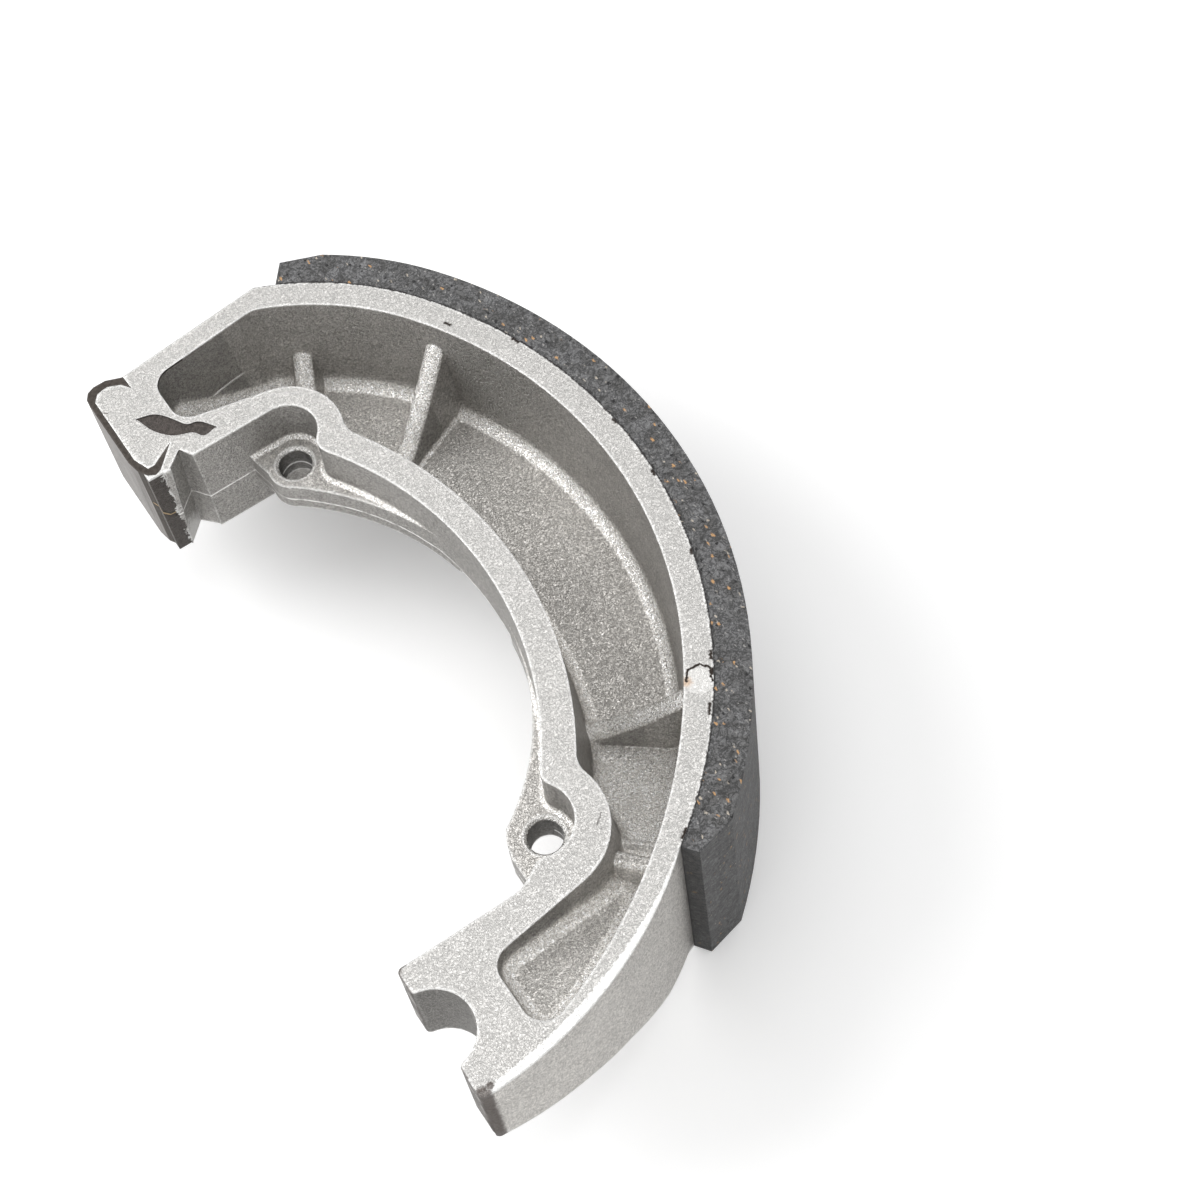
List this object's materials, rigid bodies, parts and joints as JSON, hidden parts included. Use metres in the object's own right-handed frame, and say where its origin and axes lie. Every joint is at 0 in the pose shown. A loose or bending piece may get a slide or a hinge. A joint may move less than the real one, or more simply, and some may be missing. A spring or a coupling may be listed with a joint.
{
  "type": "drum brake shoe",
  "caption": "Cast aluminium drum brake shoe with a bonded friction lining, a steel cam face, a half-round pivot seat and spring ears.",
  "frame": {"origin": "drum axis at the plane the shoe lies on", "axes": "+Z along the drum axis, +X from the drum axis to the middle of the lining, +Y towards the cam end"},
  "size_m": [0.064, 0.1103, 0.03],
  "materials": {
    "casting": "shot-blasted casting with a ground top face",
    "lining": "ground resin friction composite with brass and mineral flecks",
    "wear_plate": "dark steel with light rubbing"
  },
  "bodies": {
    "root": {"shoe_casting": "casting", "friction_lining": "lining", "cam_wear_plate": "wear_plate"}
  },
  "joints": []
}
